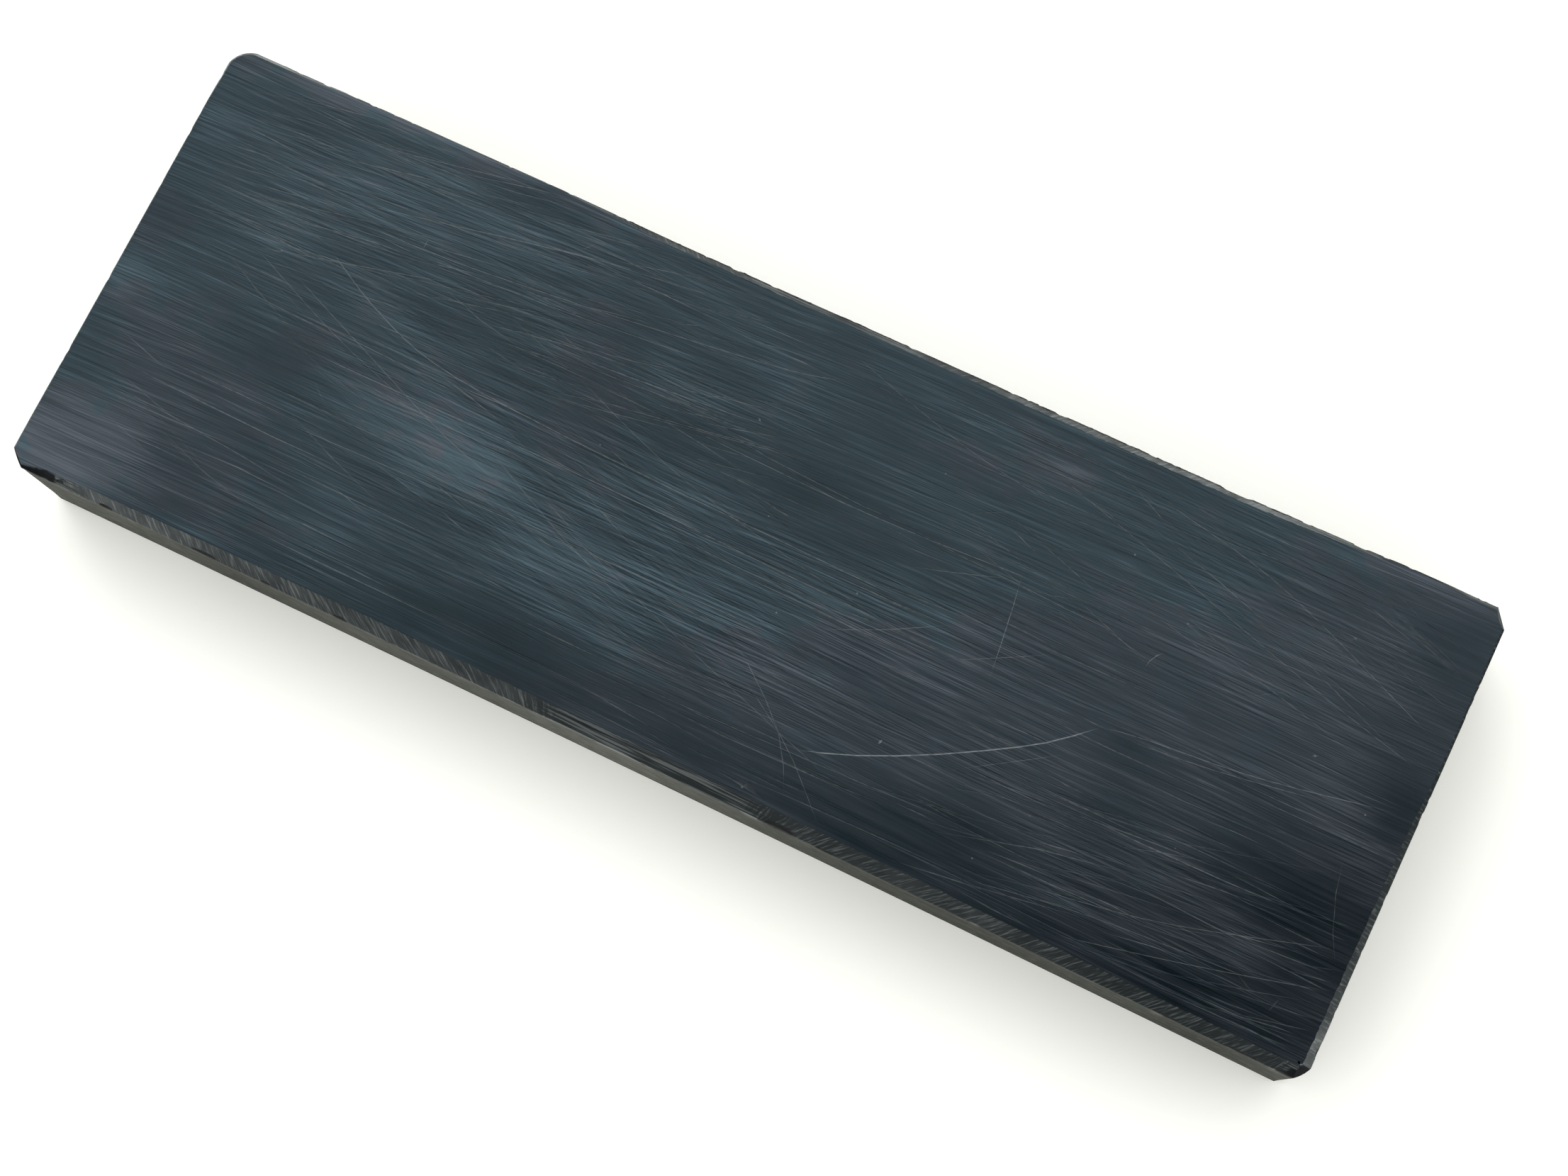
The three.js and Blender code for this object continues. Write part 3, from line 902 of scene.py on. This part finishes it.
def lapped_face(g, p):
    """Colour, roughness and height of the lapped face."""
    # Slow drift in the direction of the lapping.
    drift = g.noise(p, (0.012, 0.02, 0), detail=1.0)
    drift = g.times(g.math("SUBTRACT", drift, 0.5), 3.0)
    bent = g.vector("ADD", p, g.add("ShaderNodeCombineXYZ", {"Y": drift}).outputs[0])

    def streaks(angle, stretch, across, shift, detail=2.0):
        """Noise drawn out along an angle, about zero."""
        v = g.turned(bent, angle, (stretch, across, 0), shift)
        return g.math("SUBTRACT", g.noise(v, detail=detail, rough=0.6), 0.5)

    def patch(centre, size, lean):
        """1 in the middle of an elliptical patch, falling to 0 at its edge."""
        v = g.turned(p, lean, (1 / size[0], 1 / size[1], 0), (-centre[0], -centre[1], 0))
        node = g.add("ShaderNodeTexGradient", {"Vector": v}, gradient_type="SPHERICAL")
        return g.ramp(node.outputs["Fac"], 0.0, 0.75)

    rising_here = g.times(patch((66, -22), (46, 18), 8), 0.6)
    rising_here = g.math("MULTIPLY_ADD", patch((-50, 20), (64, 20), 6), 1.7, rising_here)
    falling_here = g.math("ADD", patch((-30, -6), (75, 26), -12), patch((70, 22), (42, 16), -14))
    lines = [
        (streaks(0.8, 0.07, 8.5, (31, 7, 0)), 0.95),
        (streaks(-0.6, 0.035, 4.8, (0, 0, 0)), 0.5),
        (streaks(-0.8, 0.02, 1.9, (17, 3, 0)), 0.22),
        (g.times(streaks(6.5, 0.03, 4.4, (11, 90, 0)), rising_here), 0.6),
        (g.times(streaks(-14, 0.06, 5.0, (70, 13, 0)), falling_here), 0.5),
    ]
    lap = 0.0
    for line, weight in lines:
        lap = g.math("MULTIPLY_ADD", line, weight, lap)
    # Pale hairlines, each family at an angle of its own.
    hairs = 0.0
    for angle, across, where in ((0.5, 1.7, 3), (-1.6, 2.2, 49), (2.4, 2.0, 95)):
        line = g.math("ABSOLUTE", streaks(angle, 0.015, across, (where, 2 * where, 0), 1.0))
        comes = g.ramp(streaks(angle, 0.05, 1.1, (2 * where, where, 0), 1.0), -0.05, 0.12)
        line = g.times(g.ramp(line, 0.04, 0.0), comes)
        hairs = g.math("MAXIMUM", hairs, line)
    lap = g.math("MULTIPLY_ADD", hairs, 0.42, g.math("SUBTRACT", lap, 0.055))

    # The tone is the strength of the haziness and of the painted reflection, and the lapping shows most
    # where it is strong.
    cloud = g.math("SUBTRACT", g.noise(p, (0.06, 0.12, 0), detail=3.0), 0.5)
    drawn = g.ramp(streaks(-1, 0.02, 0.9, (5, 5, 0), 3.0), -0.15, 0.15, 0.7, 1.26)
    tone = g.times(g.attribute("tone"), drawn)
    tone = g.math("ADD", tone, g.math("MULTIPLY_ADD", cloud, 0.2, 0.25))
    swing = g.ramp(tone, 0.08, 0.36, 0.15, 1.15)
    strong_here = patch((0, -3), (62, 30), -2)
    swing = g.times(swing, g.math("MULTIPLY_ADD", strong_here, 0.75, 1.0))
    haze_and_reflection = g.math("MULTIPLY_ADD", lap, swing, tone, clamp=True)
    smudge = g.noise(p, (0.15, 0.2, 0), detail=3.0, rough=0.6)
    tint = g.math("ADD", g.attribute("tint"), g.ramp(smudge, 0.3, 0.7, -0.5, 0.5))
    colour = g.mix(haze_and_reflection, DEEP_STONE, g.mix(g.ramp(tint, 0.2, 0.8), TEAL_HAZE_AND_REFLECTION, PURPLE_HAZE_AND_REFLECTION))
    gaps = g.noise(p, (0.9, 0.9, 0), detail=2.0)
    scratch = g.times(g.attribute("scratch"), g.ramp(gaps, 0.3, 0.6, 0.45, 1.0))
    scratch = g.times(scratch, g.ramp(tone, -0.1, 0.25, 0.5, 1.0))
    colour = g.mix(g.times(scratch, 1.1, clamp=True), colour, CRUSHED)
    rough = g.ramp(haze_and_reflection, 0.0, 1.0, 0.13, 0.3)
    rough = g.blend(g.times(scratch, 1.0, clamp=True), rough, 0.6)
    return colour, rough, g.times(lap, -0.001)


def ground_chamfers(g, p):
    """Colour and height of the ground chamfers, whose strokes follow the columns of the mesh."""
    grain = g.attribute("grain", "Vector")
    along_chamfer = g.add("ShaderNodeSeparateXYZ", {"Vector": grain}).outputs["Z"]
    crossing = g.noise(grain, (2.6, 0.3, 0), detail=3.0, rough=0.65)
    level = g.noise(grain, (0.07, 3.6, 0), detail=2.0, rough=0.6)
    level = g.ramp(level, 0.3, 0.68, 0.26, 0.8)
    stroke = g.blend(along_chamfer, crossing, level)
    patchy = g.noise(p, (0.25, 0.25, 0.25), detail=2.0, dims="3D")
    # Chalkiness of the ground stone, with painted shade towards the right end of the near chamfer.
    chalk_and_shade = g.attribute("chalk_and_shade")
    pale = g.times(chalk_and_shade, g.ramp(patchy, 0.25, 0.75, 0.6, 1.4))
    contrast = g.math("MULTIPLY_ADD", chalk_and_shade, 0.6, 0.34)
    pale = g.math("MULTIPLY_ADD", g.ramp(stroke, 0.48, 0.8), contrast, pale, clamp=True)
    return g.mix(pale, GROUND_DARK, GROUND_PALE), g.times(stroke, 0.03)


def sawn_sides(g, p):
    """Colour and height of the sawn sides: dull, faintly brown, mottled and rubbed."""
    mottle = g.noise(p, (0.35, 0.35, 0.5), detail=4.0, rough=0.6, dims="3D")
    dusted_and_shaded = g.times(g.attribute("chalk_and_shade"), g.ramp(mottle, 0.3, 0.7, 0.6, 1.4))
    # Little dusting and the painted shade on the near side both leave the bare colour.
    colour = g.mix(dusted_and_shaded, SAWN_BARE, SAWN_DUSTY)
    saw_marks = g.noise(p, (0.03, 0.03, 1.1), detail=2.0, dims="3D")
    colour = g.mix(g.ramp(saw_marks, 0.5, 0.7, 0, 0.3), colour, SAWN_MARK)
    rubs = g.noise(p, (0.55, 0.55, 0.55), detail=6.0, rough=0.7, dims="3D")
    colour = g.mix(g.ramp(rubs, 0.5, 0.75, 0, 0.5), colour, SAWN_PALE)
    colour = g.mix(g.ramp(rubs, 0.5, 0.28, 0, 0.55), colour, SAWN_DARK)
    # Painted shade darkens the foot and painted light makes the side paler near the upper arris.
    height_up = g.add("ShaderNodeSeparateXYZ", {"Vector": p}).outputs["Z"]
    foot = g.ramp(height_up, 2.4, 0.6)
    colour = g.mix(g.times(foot, 0.8), colour, SAWN_FOOT_SHADE)
    painted_crest_light = g.times(g.ramp(height_up, 14.0, 18.5), g.ramp(mottle, 0.4, 0.65))
    colour = g.mix(g.times(painted_crest_light, 0.4), colour, SAWN_PALE)
    grit = g.noise(p, scale=3.0, detail=3.0, dims="3D")
    return colour, g.times(grit, 0.03)


def stone_material():
    """One material for the whole block. Masks on the mesh say which finish each place has."""
    material, g, p = new_material("lapped_stone")
    is_ground, is_sawn, broken = (g.attribute(name) for name in ("is_ground", "is_sawn", "broken"))
    colour, rough, height = lapped_face(g, p)
    ground, ground_height = ground_chamfers(g, p)
    sawn, sawn_height = sawn_sides(g, p)

    colour = g.mix(is_ground, colour, ground)
    colour = g.mix(is_sawn, colour, sawn)
    colour = g.mix(broken, colour, BROKEN)
    rough = g.blend(g.math("MAXIMUM", is_ground, is_sawn), rough, 0.9)
    rough = g.blend(is_sawn, rough, 1.0)
    rough = g.blend(broken, rough, 0.9)
    height = g.blend(is_ground, height, ground_height)
    height = g.blend(is_sawn, height, sawn_height)
    bump = g.add("ShaderNodeBump", {"Height": height, "Strength": 1.0, "Distance": MM})

    shader = g.add(
        "ShaderNodeBsdfPrincipled",
        {"Base Color": colour, "Roughness": rough, "Normal": bump.outputs["Normal"]},
    )
    shader.inputs["IOR"].default_value = 1.34
    shader.inputs["Specular Tint"].default_value = rgb(0.62, 0.86, 1.0)
    g.add("ShaderNodeOutputMaterial", {"Surface": shader.outputs[0]})
    material.diffuse_color = rgb(0.05, 0.06, 0.07)
    return material


slab.data.materials.append(stone_material())
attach(slab, "root")
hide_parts("stone_slab")


# ---- floor, light and camera


def floor_material():
    """A matt, faintly warm white with a very soft cloudiness."""
    material, g, p = new_material("pale_floor")
    cloud = g.noise(p, (0.004, 0.004, 0), detail=3.0)
    colour = g.mix(g.ramp(cloud, 0.3, 0.7), rgb(0.925, 0.93, 0.87), rgb(0.94, 0.945, 0.89))
    shader = g.add("ShaderNodeBsdfPrincipled", {"Base Color": colour, "Roughness": 0.6})
    g.add("ShaderNodeOutputMaterial", {"Surface": shader.outputs[0]})
    return material


def make_floor():
    """A broad disc that stands for the table top."""
    radius, rings, spokes = 6.0, 8, 96
    verts = [(0, 0, 0)]
    for k in range(1, rings + 1):
        r = radius * (k / rings) ** 2
        for n in range(spokes):
            a = 2 * math.pi * n / spokes
            verts.append((r * math.cos(a), r * math.sin(a), 0))
    faces = [(0, 1 + n, 1 + (n + 1) % spokes) for n in range(spokes)]
    for k in range(rings - 1):
        a, b = 1 + k * spokes, 1 + (k + 1) * spokes
        faces += [(a + n, b + n, b + (n + 1) % spokes, a + (n + 1) % spokes) for n in range(spokes)]
    mesh = bpy.data.meshes.new("floor")
    mesh.from_pydata(verts, [], faces)
    mesh.materials.append(floor_material())
    floor = bpy.data.objects.new("floor", mesh)
    bpy.context.scene.collection.objects.link(floor)


def softbox(name, place, aim, size, power, colour):
    """A rectangular lamp at a place, aimed at a point."""
    light = bpy.data.lights.new(name, "AREA")
    light.shape = "RECTANGLE"
    light.size, light.size_y = size
    light.energy = power
    light.color = colour
    lamp = bpy.data.objects.new(name, light)
    lamp.location = place
    lamp.rotation_euler = (Vector(aim) - Vector(place)).to_track_quat("-Z", "Y").to_euler()
    bpy.context.scene.collection.objects.link(lamp)


def make_world():
    """An even pale room, with a dark part overhead on the near side, where somebody stands."""
    world = bpy.data.worlds.new("room")
    world.use_nodes = True
    bpy.context.scene.world = world
    g = Graph(world.node_tree)
    # How far a direction leans to the right and to the far side, for each step up.
    way = g.add("ShaderNodeSeparateXYZ", {"Vector": g.add("ShaderNodeTexCoord").outputs["Generated"]})
    up = g.math("MAXIMUM", way.outputs["Z"], 0.05)
    x = g.math("DIVIDE", way.outputs["X"], up)
    y = g.math("DIVIDE", way.outputs["Y"], up)
    # The dark part's far edge is a curve over x, with its place at x = 0, its slope and its bend.
    edge_place, edge_slope, edge_bend = 0.154, 0.5, 1.2
    bend = g.times(g.times(x, x), edge_bend)
    edge = g.math("ADD", g.times(x, edge_slope), edge_place)
    past = g.math("SUBTRACT", y, g.math("ADD", edge, bend))
    dark = g.ramp(past, 0.01, -0.06)
    # Its near, left and right edges fade between two values of y or x.
    for value, outside, inside in ((y, -0.75, -0.5), (x, -0.42, -0.28), (x, 0.8, 0.5)):
        dark = g.times(dark, g.ramp(value, outside, inside))
    colour = g.mix(dark, rgb(1.75, 1.75, 1.75), rgb(0.05, 0.052, 0.058))
    seen = g.add("ShaderNodeLightPath").outputs["Is Camera Ray"]
    colour = g.mix(seen, colour, rgb(0.93, 0.93, 0.92))
    background = g.add("ShaderNodeBackground", {"Color": colour, "Strength": 1.0})
    g.add("ShaderNodeOutputWorld", {"Surface": background.outputs[0]})


def make_camera():
    """A camera nearly overhead, turned so that the slab's length runs down to the right."""
    place = Vector((57.79, -62.24, 359.48)) * MM
    look = Vector((-0.14105, 0.16649, -0.9759)).normalized()
    up = Vector((-0.41713, 0.88399, 0.2111))
    right = look.cross(up).normalized()
    up = right.cross(look)
    data = bpy.data.cameras.new("camera")
    data.sensor_width = 36.0
    data.lens = 57.629
    data.clip_start = 0.01
    data.clip_end = 20.0
    camera = bpy.data.objects.new("camera", data)
    turn = Matrix((right, up, -look)).transposed().to_4x4()
    camera.matrix_world = Matrix.Translation(place) @ turn
    bpy.context.scene.collection.objects.link(camera)
    bpy.context.scene.camera = camera


make_floor()
make_world()
softbox("key", (-0.9, 0.9, 1.0), (0, 0, 0), (1.0, 1.0), 5, (1.0, 0.99, 1.0))
make_camera()
bpy.context.scene.view_settings.view_transform = "Standard"
